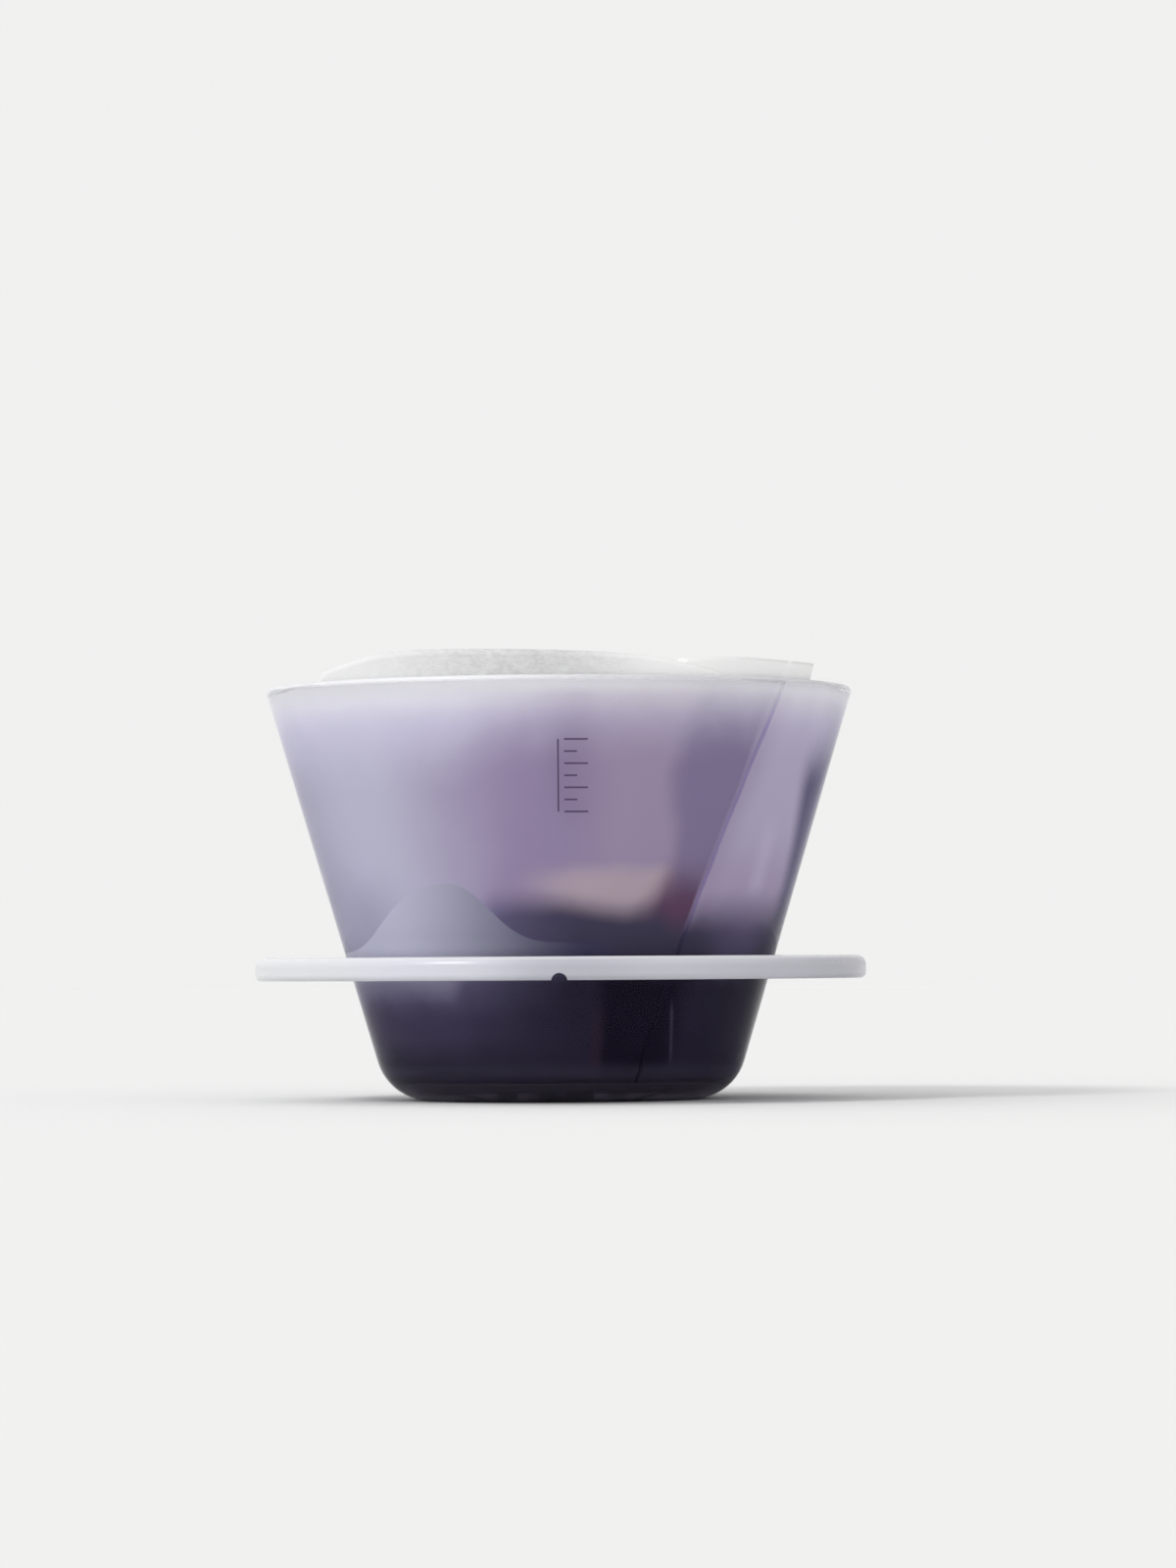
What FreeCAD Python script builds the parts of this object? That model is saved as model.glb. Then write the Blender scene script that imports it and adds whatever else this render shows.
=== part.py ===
import FreeCAD, Part
import math
import os
import Sketcher
from FreeCAD import Vector

# Pour-over coffee dripper: a straight tapered cone with a flat drained floor, the flat ring
# that carries it, the paper filter inside it and the wet grounds that lie in the paper.
# Millimetres, +Z up, the front is -Y. The origin is the centre of the cone's flat base.

document = FreeCAD.newDocument("pour_over_dripper")

# Driving dimensions: alias, value, meaning
SIZES = [
    ("cone_height", 79.0, "base plane to the top of the rim"),
    ("rim_radius", 56.5, "outer radius of the cone where its wall meets the rim plane"),
    ("base_radius", 33.1, "outer radius where the straight wall would meet the base plane"),
    ("wall", 2.2, "wall and floor thickness of the moulded cone"),
    ("corner_radius", 10.3, "outer radius of the turn from wall to base"),
    ("rim_rounding", 0.95, "radius on both edges of the rim"),
    ("rim_share", 0.45, "largest share of the wall that one rim rounding may take"),
    ("outlet_radius", 4.3, "central outlet in the floor"),
    ("drain_radius", 1.9, "each small drain around the outlet"),
    ("drain_circle_radius", 10.6, "circle on which the small drains lie"),
    ("floor_rib_pairs", 4, "pairs of floor ribs, with one small drain between the ribs of a pair"),
    ("floor_rib_height", 1.2, "how far the floor ribs lift the paper"),
    ("floor_rib_width", 1.8, "width of a floor rib"),
    ("floor_rib_start", 7.5, "distance from the axis to the inner end of a floor rib"),
    ("floor_rib_short", 0.3, "how far a rib stops short of the base radius, in corner radii"),
    ("ring_radius", 58.7, "outer radius of the carrying ring"),
    ("ring_thickness", 4.4, "thickness of the carrying ring"),
    ("ring_underside", 23.0, "height of the ring's resting face above the base plane"),
    ("ring_top_rounding", 1.8, "radius on the ring's upper outer edge"),
    ("ring_bottom_rounding", 1.1, "radius on the ring's lower outer edge"),
    ("ring_fit", 0.25, "gap between the cone and the ring's tapered bore"),
    ("vent_radius", 1.5, "radius of the half-round vent grooves under the ring"),
    ("vent_depth", 1.35, "depth of the vent grooves"),
    ("vent_count", 4, "vent grooves, evenly spaced from the front"),
    ("paper_thickness", 0.3, "thickness of the filter paper"),
    ("paper_gap", 0.35, "gap between the paper and the cone, its ribs included"),
    ("paper_crest", 5.0, "how far the paper stands above the rim at its crest"),
    ("paper_tuck", 0.6, "how far the paper lies below the rim away from its crest"),
    ("paper_crest_left", 22.0, "distance of the crest to the left of the axis"),
    ("paper_left_end", 46.0, "where the standing edge meets the rim on the left"),
    ("paper_right_end", 34.0, "where the standing edge meets the rim on the right"),
    ("flap_start", 30.0, "angle from the front at which the doubled flap of the paper starts"),
    ("flap_width", 30.0, "angle that the doubled flap covers"),
    ("flap_stand", 3.3, "how far the flap stands above the rim"),
    ("flap_foot", 6.0, "height of the flap's lower end above the paper's floor"),
    ("grounds_gap", 0.3, "gap between the grounds and the paper"),
    ("grounds_low", 20.0, "height of the grounds at the left wall, above the base plane"),
    ("grounds_high", 34.5, "height of the grounds at the right wall, above the base plane"),
    ("grounds_bow_radius", 130.0, "radius of the shallow hollow in the top of the grounds"),
]

sheet = document.addObject("Spreadsheet::Sheet", "Sizes")
for row, (alias, value, meaning) in enumerate(SIZES, start=1):
    sheet.set(f"A{row}", meaning)
    sheet.set(f"B{row}", str(value))
    sheet.setAlias(f"B{row}", alias)
document.recompute()

# Formulas that several pieces share
TAPER = "((Sizes.rim_radius - Sizes.base_radius) / Sizes.cone_height)"
SLANT = f"sqrt(1 + {TAPER} ^ 2)"
RING_TOP = "(Sizes.ring_underside + Sizes.ring_thickness)"
PAPER_INSET = "(Sizes.wall + Sizes.paper_gap)"
PAPER_FLOOR = "(Sizes.wall + Sizes.floor_rib_height + Sizes.paper_gap)"
PAPER_FOLD = f"((Sizes.corner_radius - {PAPER_FLOOR}) * ({SLANT} - {TAPER}))"
FLAP_INSET = f"({PAPER_INSET} + Sizes.paper_thickness)"
FLAP_FACE_INSET = f"({FLAP_INSET} + Sizes.paper_thickness)"
GROUNDS_INSET = f"({FLAP_FACE_INSET} + Sizes.grounds_gap)"
GROUNDS_FLOOR = f"({PAPER_FLOOR} + Sizes.paper_thickness + Sizes.grounds_gap)"


def cone_radius(height, inset):
    """Radius at a height of the surface that lies an inset inside the cone's outer wall."""
    return f"(Sizes.base_radius + {TAPER} * ({height}) - ({inset}) * {SLANT})"


def new_body(name):
    body = document.addObject("PartDesign::Body", name)
    body.Label = name
    return body


def new_sketch(body, name, plane_role):
    """An empty sketch on one of the body's own origin planes."""
    sketch = body.newObject("Sketcher::SketchObject", name)
    plane = next(item for item in body.Origin.OriginFeatures if item.Role == plane_role)
    sketch.AttachmentSupport = (plane, [""])
    sketch.MapMode = "FlatFace"
    return sketch


def bind(sketch, constraint, name, formula):
    """Add a driving constraint and tie its value to the sheet."""
    index = sketch.addConstraint(constraint)
    sketch.renameConstraint(index, name)
    sketch.setExpression(f"Constraints.{name}", formula)


def place_point(sketch, geometry, end, name, x_formula, y_formula):
    """Tie a point of the sketch to two formulas; None keeps it on the sketch's axis."""
    origin = (-1, 1)
    drawn = sketch.getPoint(geometry, end)
    if x_formula is None:
        sketch.addConstraint(Sketcher.Constraint("PointOnObject", geometry, end, -2))
    else:
        across = Sketcher.Constraint("DistanceX", *origin, geometry, end, drawn.x)
        bind(sketch, across, f"{name}_across", x_formula)
    if y_formula is None:
        sketch.addConstraint(Sketcher.Constraint("PointOnObject", geometry, end, -1))
    else:
        up = Sketcher.Constraint("DistanceY", *origin, geometry, end, drawn.y)
        bind(sketch, up, f"{name}_up", y_formula)


def join_ends(sketch, pairs):
    """Make the named ends of neighbouring edges meet."""
    for first, first_end, second, second_end in pairs:
        sketch.addConstraint(
            Sketcher.Constraint("Coincident", first, first_end, second, second_end))


def draw_outline(sketch, corners):
    """A closed outline of straight edges through corners given as formulas."""
    rough = [Vector(10, 10, 0), Vector(40, 10, 0), Vector(40, 40, 0), Vector(10, 40, 0)]
    for start, end in zip(rough, rough[1:] + rough[:1]):
        sketch.addGeometry(Part.LineSegment(start, end), False)
    join_ends(sketch, [(0, 2, 1, 1), (1, 2, 2, 1), (2, 2, 3, 1), (3, 2, 0, 1)])
    for index, (x_formula, y_formula) in enumerate(corners):
        place_point(sketch, index, 1, f"corner{index}", x_formula, y_formula)


def revolve(body, name, corners):
    """Turn an outline in the body's XZ plane round its Z axis."""
    sketch = new_sketch(body, f"{name}_outline", "XZ_Plane")
    draw_outline(sketch, corners)
    feature = body.newObject("PartDesign::Revolution", name)
    feature.Profile = sketch
    feature.ReferenceAxis = (sketch, ["V_Axis"])
    feature.Angle = 360.0
    document.recompute()
    return feature


def round_edges(body, name, base, edges, formula):
    feature = body.newObject("PartDesign::Fillet", name)
    feature.Base = (base, edges)
    feature.setExpression("Radius", formula)
    document.recompute()
    return feature


def fold_edges(body, name, base, edges, formula):
    """Replace the edges by a slanting strip that reaches the same length along both faces."""
    feature = body.newObject("PartDesign::Chamfer", name)
    feature.Base = (base, edges)
    feature.setExpression("Size", formula)
    document.recompute()
    return feature


def circle_edges(feature, height, tolerance=0.01):
    """Names of the feature's closed round edges that lie level at a height, inner ones first."""
    found = []
    for number, edge in enumerate(feature.Shape.Edges, start=1):
        box = edge.BoundBox
        level = abs(box.ZMin - height) < tolerance and abs(box.ZMax - height) < tolerance
        if level and isinstance(edge.Curve, Part.Circle):
            found.append((edge.Curve.Radius, f"Edge{number}"))
    return [name for radius, name in sorted(found)]


def level_face(feature, height, tolerance=0.01):
    """Name of the feature's flat face that lies level at a height."""
    for number, face in enumerate(feature.Shape.Faces, start=1):
        box = face.BoundBox
        if abs(box.ZMin - height) < tolerance and abs(box.ZMax - height) < tolerance:
            return f"Face{number}"
    raise RuntimeError("no level face at this height")


def cut_through(body, name, sketch):
    """Cut the sketch through the whole body on both sides of its plane."""
    before = body.Shape.Volume
    feature = body.newObject("PartDesign::Pocket", name)
    feature.Profile = sketch
    feature.Type = "ThroughAll"
    feature.Midplane = True
    document.recompute()
    if feature.Shape.Volume >= before:
        raise RuntimeError(f"{name} cuts nothing")
    return feature


def repeat_round_axis(body, name, feature, count_formula):
    """Copies of a feature evenly spaced round the body's Z axis."""
    upright = next(item for item in body.Origin.OriginFeatures if item.Role == "Z_Axis")
    pattern = body.newObject("PartDesign::PolarPattern", name)
    pattern.Originals = [feature]
    pattern.Axis = (upright, [""])
    pattern.Angle = 360.0
    pattern.setExpression("Occurrences", count_formula)
    body.Tip = pattern
    document.recompute()


# Cone: one moulding, a straight tapered wall turned into a flat floor
cone = new_body("cone")
cone_blank = revolve(cone, "cone_blank", [
    (None, None),
    ("Sizes.base_radius", None),
    ("Sizes.rim_radius", "Sizes.cone_height"),
    (None, "Sizes.cone_height"),
])
cone_turn = round_edges(
    cone, "cone_turn", cone_blank, circle_edges(cone_blank, 0.0), "Sizes.corner_radius")
cone_shell = cone.newObject("PartDesign::Thickness", "cone_shell")
cone_shell.Base = (cone_turn, [level_face(cone_turn, sheet.cone_height)])
cone_shell.setExpression("Value", "Sizes.wall")
cone_shell.Reversed = True
cone_shell.Mode = "Skin"
cone_shell.Join = "Arc"
document.recompute()
round_edges(
    cone, "cone_rim", cone_shell, circle_edges(cone_shell, sheet.cone_height),
    f"min(Sizes.rim_rounding; Sizes.rim_share * Sizes.wall * {SLANT})")

# Floor ribs start halfway into the floor and run out into the turn, where their ends are buried
RIB_ROOT = "(Sizes.wall / 2)"
RIB_SIDE = "(Sizes.floor_rib_width / 2)"
RIB_END = "(Sizes.base_radius - Sizes.floor_rib_short * Sizes.corner_radius)"
rib_sketch = new_sketch(cone, "floor_rib_outline", "XY_Plane")
rib_sketch.setExpression("AttachmentOffset.Base.z", RIB_ROOT)
draw_outline(rib_sketch, [
    ("Sizes.floor_rib_start", f"-{RIB_SIDE}"),
    (RIB_END, f"-{RIB_SIDE}"),
    (RIB_END, RIB_SIDE),
    ("Sizes.floor_rib_start", RIB_SIDE),
])
floor_rib = cone.newObject("PartDesign::Pad", "floor_rib")
floor_rib.Profile = rib_sketch
floor_rib.setExpression("Length", f"Sizes.wall - {RIB_ROOT} + Sizes.floor_rib_height")
document.recompute()
repeat_round_axis(cone, "floor_ribs", floor_rib, "2 * Sizes.floor_rib_pairs")

# Outlet, and a small drain in every other gap between the ribs
outlet_sketch = new_sketch(cone, "outlet_outline", "XY_Plane")
outlet_sketch.addGeometry(Part.Circle(Vector(0, 0, 0), Vector(0, 0, 1), 1.0), False)
outlet_sketch.addConstraint(Sketcher.Constraint("Coincident", 0, 3, -1, 1))
bind(outlet_sketch, Sketcher.Constraint("Radius", 0, 1.0), "outlet", "Sizes.outlet_radius")
cut_through(cone, "outlet", outlet_sketch)

DRAIN_TURN = "(90 / Sizes.floor_rib_pairs)"
drain_sketch = new_sketch(cone, "drain_outline", "XY_Plane")
drain_sketch.addGeometry(Part.Circle(Vector(9, 4, 0), Vector(0, 0, 1), 1.0), False)
place_point(drain_sketch, 0, 3, "drain_centre",
            f"Sizes.drain_circle_radius * cos({DRAIN_TURN})",
            f"Sizes.drain_circle_radius * sin({DRAIN_TURN})")
bind(drain_sketch, Sketcher.Constraint("Radius", 0, 1.0), "drain", "Sizes.drain_radius")
drain = cut_through(cone, "drain", drain_sketch)
repeat_round_axis(cone, "drains", drain, "Sizes.floor_rib_pairs")

# Ring: a flat disc whose bore follows the cone's taper
ring = new_body("ring")
ring.setExpression("Placement.Base.z", "Sizes.ring_underside")
ring_blank = revolve(ring, "ring_blank", [
    (cone_radius("Sizes.ring_underside", "-Sizes.ring_fit"), None),
    ("Sizes.ring_radius", None),
    ("Sizes.ring_radius", "Sizes.ring_thickness"),
    (cone_radius(RING_TOP, "-Sizes.ring_fit"), "Sizes.ring_thickness"),
])
ring_upper = round_edges(
    ring, "ring_upper", ring_blank, circle_edges(ring_blank, sheet.ring_thickness)[-1:],
    "Sizes.ring_top_rounding")
ring_lower = round_edges(
    ring, "ring_lower", ring_upper, circle_edges(ring_upper, 0.0)[-1:],
    "Sizes.ring_bottom_rounding")

# Half-round vent grooves let air out of the vessel under the ring
vent_sketch = new_sketch(ring, "vent_outline", "XZ_Plane")
vent_sketch.addGeometry(Part.Circle(Vector(0, 0, 0), Vector(0, 0, 1), 1.0), False)
place_point(vent_sketch, 0, 3, "vent_centre", None, "Sizes.vent_depth - Sizes.vent_radius")
bind(vent_sketch, Sketcher.Constraint("Radius", 0, 1.0), "vent", "Sizes.vent_radius")
vent = ring.newObject("PartDesign::Pocket", "vent")
vent.Profile = vent_sketch
vent.Type = "Length"
vent.setExpression("Length", "2 * Sizes.ring_radius")
document.recompute()
if vent.Shape.Volume >= ring_lower.Shape.Volume:
    raise RuntimeError("the vent cuts nothing")
repeat_round_axis(ring, "vents", vent, "Sizes.vent_count")

# Paper filter: a thin open cup that follows the cone inside and rests on the floor ribs
paper = new_body("paper_filter")
paper.setExpression("Placement.Base.z", PAPER_FLOOR)
PAPER_TOP = f"(Sizes.cone_height + Sizes.paper_crest - {PAPER_FLOOR})"
PAPER_TUCK = f"(Sizes.cone_height - Sizes.paper_tuck - {PAPER_FLOOR})"
paper_blank = revolve(paper, "paper_blank", [
    (None, None),
    (cone_radius(PAPER_FLOOR, PAPER_INSET), None),
    (cone_radius("Sizes.cone_height + Sizes.paper_crest", PAPER_INSET), PAPER_TOP),
    (None, PAPER_TOP),
])
paper_fold = fold_edges(
    paper, "paper_fold", paper_blank, circle_edges(paper_blank, 0.0), PAPER_FOLD)
paper_shell = paper.newObject("PartDesign::Thickness", "paper_shell")
paper_shell.Base = (paper_fold, [level_face(paper_fold, paper_fold.Shape.BoundBox.ZMax)])
paper_shell.setExpression("Value", "Sizes.paper_thickness")
paper_shell.Reversed = True
paper_shell.Mode = "Skin"
paper_shell.Join = "Arc"
document.recompute()

# The paper's edge, seen from the front: two arcs fall from a crest to a level just under the rim
OUTSIDE = "(2 * Sizes.rim_radius)"
ABOVE = f"({PAPER_TOP} + Sizes.paper_crest)"


def falling_arc(crest, reach, drop):
    """Arc that leaves the crest level and meets the point a reach beside and a drop below it."""
    radius = (reach ** 2 + drop ** 2) / (2 * drop)
    centre = crest - Vector(0, radius, 0)
    turn = math.asin(reach / radius)
    quarter = math.pi / 2
    circle = Part.Circle(centre, Vector(0, 0, 1), radius)
    return Part.ArcOfCircle(circle, min(quarter, quarter - turn), max(quarter, quarter - turn))


crest_fall = sheet.paper_crest + sheet.paper_tuck
crest = Vector(-sheet.paper_crest_left, paper_shell.Shape.BoundBox.ZMax, 0)
left_end = Vector(-sheet.paper_left_end, crest.y - crest_fall, 0)
right_end = Vector(sheet.paper_right_end, crest.y - crest_fall, 0)
far = 2 * sheet.rim_radius
high = crest.y + sheet.paper_crest
edge_sketch = new_sketch(paper, "paper_edge_outline", "XZ_Plane")
edge_sketch.addGeometry([
    falling_arc(crest, left_end.x - crest.x, crest_fall),
    falling_arc(crest, right_end.x - crest.x, crest_fall),
    Part.LineSegment(right_end, Vector(far, right_end.y, 0)),
    Part.LineSegment(Vector(far, right_end.y, 0), Vector(far, high, 0)),
    Part.LineSegment(Vector(far, high, 0), Vector(-far, high, 0)),
    Part.LineSegment(Vector(-far, high, 0), Vector(-far, left_end.y, 0)),
    Part.LineSegment(Vector(-far, left_end.y, 0), left_end),
], False)
join_ends(edge_sketch, [
    (0, 1, 1, 2), (1, 1, 2, 1), (2, 2, 3, 1), (3, 2, 4, 1), (4, 2, 5, 1), (5, 2, 6, 1), (6, 2, 0, 2)])
for arc in (0, 1):
    edge_sketch.addConstraint(Sketcher.Constraint("Vertical", arc, 3, 0, 1))
place_point(edge_sketch, 0, 1, "crest", "-Sizes.paper_crest_left", PAPER_TOP)
place_point(edge_sketch, 0, 2, "left_end", "-Sizes.paper_left_end", PAPER_TUCK)
place_point(edge_sketch, 1, 1, "right_end", "Sizes.paper_right_end", PAPER_TUCK)
place_point(edge_sketch, 2, 2, "right_low", OUTSIDE, PAPER_TUCK)
place_point(edge_sketch, 3, 2, "right_high", OUTSIDE, ABOVE)
place_point(edge_sketch, 4, 2, "left_high", f"-{OUTSIDE}", ABOVE)
place_point(edge_sketch, 5, 2, "left_low", f"-{OUTSIDE}", PAPER_TUCK)
cut_through(paper, "paper_edge", edge_sketch)

# The flap: the overlapping end of the sheet, a second layer inside the first
FLAP_FOOT = f"({PAPER_FLOOR} + Sizes.flap_foot)"
FLAP_TOP = "(Sizes.cone_height + Sizes.flap_stand)"
FLAP_TOP_UP = f"{FLAP_TOP} - {PAPER_FLOOR}"
flap_sketch = new_sketch(paper, "flap_outline", "XZ_Plane")
flap_sketch.AttachmentOffset = FreeCAD.Placement(
    Vector(0, 0, 0), FreeCAD.Rotation(Vector(0, 1, 0), 1.0))
flap_sketch.setExpression(
    "AttachmentOffset.Rotation.Angle", "Sizes.flap_start + Sizes.flap_width / 2 - 90")
draw_outline(flap_sketch, [
    (cone_radius(FLAP_FOOT, FLAP_FACE_INSET), "Sizes.flap_foot"),
    (cone_radius(FLAP_FOOT, FLAP_INSET), "Sizes.flap_foot"),
    (cone_radius(FLAP_TOP, FLAP_INSET), FLAP_TOP_UP),
    (cone_radius(FLAP_TOP, FLAP_FACE_INSET), FLAP_TOP_UP),
])
flap = paper.newObject("PartDesign::Revolution", "flap")
flap.Profile = flap_sketch
flap.ReferenceAxis = (flap_sketch, ["V_Axis"])
flap.Midplane = True
flap.setExpression("Angle", "Sizes.flap_width")
document.recompute()

# Grounds: a wet bed inside the paper, low where the water falls and heaped on the right
grounds = new_body("coffee_grounds")
grounds.setExpression("Placement.Base.z", GROUNDS_FLOOR)
grounds_blank = revolve(grounds, "grounds_blank", [
    (None, None),
    (cone_radius(GROUNDS_FLOOR, GROUNDS_INSET), None),
    (cone_radius("Sizes.cone_height", GROUNDS_INSET), f"Sizes.cone_height - {GROUNDS_FLOOR}"),
    (None, f"Sizes.cone_height - {GROUNDS_FLOOR}"),
])
fold_edges(grounds, "grounds_fold", grounds_blank, circle_edges(grounds_blank, 0.0), PAPER_FOLD)

# Their top: one shallow hollow, part of a ball, between the two heights at the wall
LOW_RADIUS = cone_radius("Sizes.grounds_low", GROUNDS_INSET)
HIGH_RADIUS = cone_radius("Sizes.grounds_high", GROUNDS_INSET)
SPAN = f"({LOW_RADIUS} + {HIGH_RADIUS})"
RISE = "(Sizes.grounds_high - Sizes.grounds_low)"
CHORD = f"sqrt({SPAN} ^ 2 + {RISE} ^ 2)"
BALL_LIFT = f"sqrt(Sizes.grounds_bow_radius ^ 2 - ({CHORD} / 2) ^ 2)"
MIDDLE_ACROSS = f"({HIGH_RADIUS} - {LOW_RADIUS}) / 2"
MIDDLE_UP = f"(Sizes.grounds_low + Sizes.grounds_high) / 2 - {GROUNDS_FLOOR}"
whole_bed = grounds.Shape.Volume
hollow = grounds.newObject("PartDesign::SubtractiveSphere", "grounds_hollow")
hollow.Placement = FreeCAD.Placement(Vector(0, 0, 0), FreeCAD.Rotation(Vector(1, 0, 0), 90))
hollow.setExpression("Radius", "Sizes.grounds_bow_radius")
hollow.setExpression("Placement.Base.x", f"{MIDDLE_ACROSS} - {RISE} / {CHORD} * {BALL_LIFT}")
hollow.setExpression("Placement.Base.z", f"{MIDDLE_UP} + {SPAN} / {CHORD} * {BALL_LIFT}")
document.recompute()
if hollow.Shape.Volume >= whole_bed:
    raise RuntimeError("the hollow cuts nothing")

# Nothing is written unless every feature is sound and each piece is one solid
for item in document.Objects:
    if "Invalid" in item.State or "Error" in item.State:
        raise RuntimeError(f"{item.Name} is {item.State}")
bodies = [cone, ring, paper, grounds]
for body in bodies:
    shape = body.Shape
    if shape.isNull() or not shape.isValid() or len(shape.Solids) != 1:
        raise RuntimeError(f"{body.Label} is not one sound solid")

os.makedirs("parts", exist_ok=True)
for body in bodies:
    body.Shape.exportStep(f"parts/{body.Label}.step")
    box = body.Shape.optimalBoundingBox()
    print(f"{body.Label}: volume {body.Shape.Volume / 1000:.1f} cm3, "
          f"height {box.ZMin:.2f} to {box.ZMax:.2f}")
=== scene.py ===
import math

import bpy
import numpy as np
from mathutils import Matrix, Vector, kdtree, noise


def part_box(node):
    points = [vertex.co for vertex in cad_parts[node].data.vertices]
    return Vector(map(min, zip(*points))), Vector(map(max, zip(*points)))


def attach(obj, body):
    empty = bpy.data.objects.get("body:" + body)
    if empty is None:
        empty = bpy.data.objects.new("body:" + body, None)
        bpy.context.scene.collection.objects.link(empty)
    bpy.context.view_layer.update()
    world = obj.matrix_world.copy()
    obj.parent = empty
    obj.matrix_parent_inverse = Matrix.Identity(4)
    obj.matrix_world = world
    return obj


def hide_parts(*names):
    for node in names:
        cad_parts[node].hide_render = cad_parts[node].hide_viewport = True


# A pour-over coffee dripper. The cone and the ring are the frame's own solids, dressed here. A
# finer paper filter and bed of wet grounds stand in the place of the frame's, and a plain level
# gauge is printed on the cone.
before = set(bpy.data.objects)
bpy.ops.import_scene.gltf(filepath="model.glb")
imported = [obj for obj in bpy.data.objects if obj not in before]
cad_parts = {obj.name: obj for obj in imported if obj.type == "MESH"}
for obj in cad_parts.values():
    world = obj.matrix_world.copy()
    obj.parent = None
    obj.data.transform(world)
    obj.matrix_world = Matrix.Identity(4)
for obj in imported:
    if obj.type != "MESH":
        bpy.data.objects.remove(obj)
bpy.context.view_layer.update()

# Sizes in metres, in the frame's own coordinates: +Z up, front -Y, the axis at x = y = 0
MM = 0.001
RIM_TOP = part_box("cone")[1].z
RING_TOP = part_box("ring")[1].z
WALL = 2.2 * MM
BASE_RADIUS = 33.1 * MM
RIM_RADIUS = 56.5 * MM
CORNER_RADIUS = 10.3 * MM
FLOOR_RIB = 1.2 * MM
TAPER = (RIM_RADIUS - BASE_RADIUS) / RIM_TOP
SLANT = math.sqrt(1 + TAPER ** 2)

# The paper sheet's slanting outer end: its angle at the foot, and how far it leans a millimetre up
SHEET_FOOT_ANGLE = 24.1
SHEET_LEAN = 0.34


def wall_radius(height, inset):
    """Radius at a height of the surface that lies an inset inside the cone's outer wall."""
    return BASE_RADIUS + TAPER * height - inset * SLANT


def around(radius, turn):
    """The x and y of a place at a radius, turned by radians from the front to the right."""
    return radius * math.sin(turn), -radius * math.cos(turn)


def smooth_step(low, high, value):
    share = np.clip((value - low) / (high - low), 0.0, 1.0)
    return share * share * (3 - 2 * share)


# Places of the colour sockets among a Mix node's sockets
MIX_FIRST = 6
MIX_SECOND = 7
MIX_RESULT = 2


class Nodes:
    """A node tree, with short calls for the nodes that repeat."""

    def __init__(self, tree):
        self.tree = tree

    def node(self, kind, **settings):
        made = self.tree.nodes.new(kind)
        for key, value in settings.items():
            setattr(made, key, value)
        return made

    def feed(self, socket, value):
        """Link a socket to another one, or set it to a number or a colour."""
        if isinstance(value, bpy.types.NodeSocket):
            self.tree.links.new(value, socket)
        elif socket.type == "RGBA":
            socket.default_value = (*value, 1.0)
        else:
            socket.default_value = value

    def calculate(self, operation, *values):
        made = self.node("ShaderNodeMath", operation=operation)
        for socket, value in zip(made.inputs, values):
            self.feed(socket, value)
        return made.outputs[0]

    def product(self, first, *others):
        for other in others:
            first = self.calculate("MULTIPLY", first, other)
        return first

    def change(self, value, span, ends, kind="LINEAR"):
        """Change between two ends while the value crosses a span."""
        made = self.node("ShaderNodeMapRange", interpolation_type=kind)
        names = ("Value", "From Min", "From Max", "To Min", "To Max")
        for name, given in zip(names, (value, *span, *ends)):
            self.feed(made.inputs[name], given)
        return made.outputs["Result"]

    def step(self, value, span, ends=(0.0, 1.0)):
        """Smooth change between two ends while the value crosses a span."""
        return self.change(value, span, ends, "SMOOTHSTEP")

    def bell(self, value, bell):
        """One at the bell's middle, falling smoothly to nothing at its reach on either side."""
        middle, reach = bell
        away = self.calculate("ABSOLUTE", self.calculate("SUBTRACT", value, middle))
        return self.step(away, (0.0, reach), (1.0, 0.0))

    def mix(self, share, first, second, blend="MIX"):
        made = self.node("ShaderNodeMix", data_type="RGBA", blend_type=blend)
        self.feed(made.inputs["Factor"], share)
        self.feed(made.inputs[MIX_FIRST], first)
        self.feed(made.inputs[MIX_SECOND], second)
        return made.outputs[MIX_RESULT]

    def lay(self, tone, colour, *shares):
        """The tone with a colour laid over it, by the product of the shares."""
        return self.mix(self.product(*shares), tone, colour)

    def gradient(self, value, tone, stops):
        """A tone that changes to each stop's tone while the value crosses the stop's span."""
        for span, stop_tone in stops:
            tone = self.lay(tone, stop_tone, self.step(value, span))
        return tone


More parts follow.
